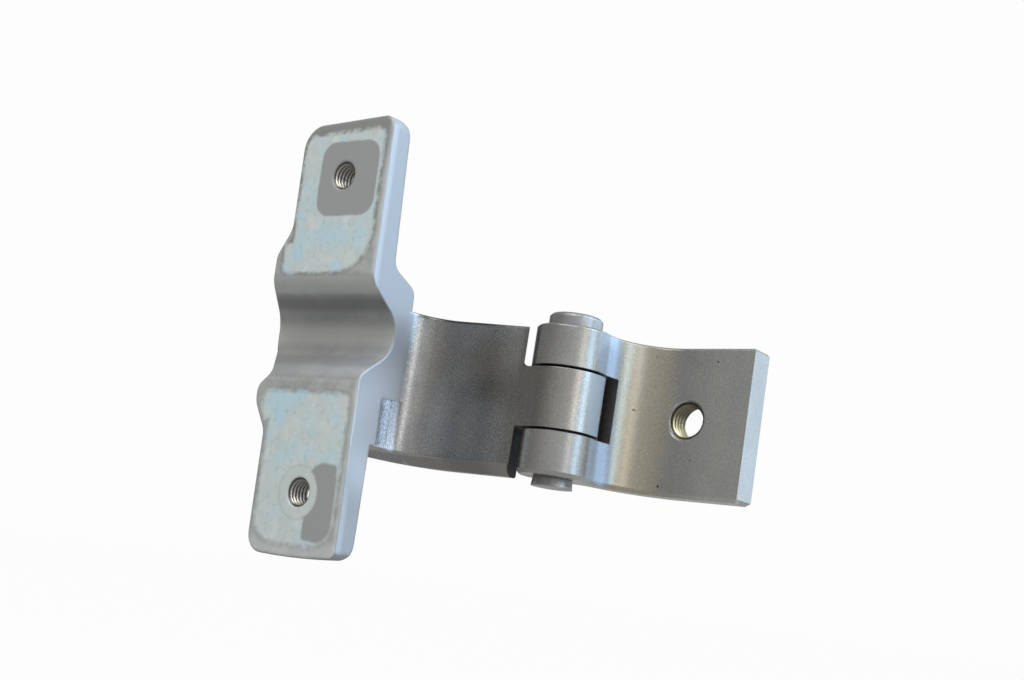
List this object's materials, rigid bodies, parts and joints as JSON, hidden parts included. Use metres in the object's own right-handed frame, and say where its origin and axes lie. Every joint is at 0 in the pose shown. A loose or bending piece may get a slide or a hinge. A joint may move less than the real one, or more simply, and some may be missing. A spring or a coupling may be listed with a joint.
{
  "type": "door hinge",
  "caption": "Forged two-leaf vehicle door hinge: a stepped mounting pad with a curved arm and knuckle, and a clevis leaf that swings on a riveted pin.",
  "frame": {"origin": "on the pad's mounting face plane, midway between its two threaded holes", "axes": "+X from the mounting face into the part, -Y from the pad towards the swinging leaf, +Z along the line of the pad's holes towards the pin's head; the pin leans 3 degrees from Z towards +X"},
  "size_m": [0.0541, 0.1401, 0.1247],
  "materials": {
    "bracket_coat": "silver-grey metallic coat, bare primer on the mounting faces",
    "leaf_coat": "warm grey coat with faint yellow stains",
    "pin_coat": "grey coat, satin",
    "bush_metal": "dark sliding layer, dull"
  },
  "bodies": {
    "bracket": {"pad_bracket": "bracket_coat", "bush_upper": "bush_metal", "bush_lower": "bush_metal"},
    "leaf": {"clevis_leaf": "leaf_coat", "hinge_pin": "pin_coat"}
  },
  "joints": [
    {"name": "leaf_swing", "type": "hinge", "parent": "bracket", "child": "leaf", "pos_m": [0.0263, -0.06665, -0.0134], "axis": [0.0523, 0, 0.9986], "range_deg": [-160, 95]}
  ]
}
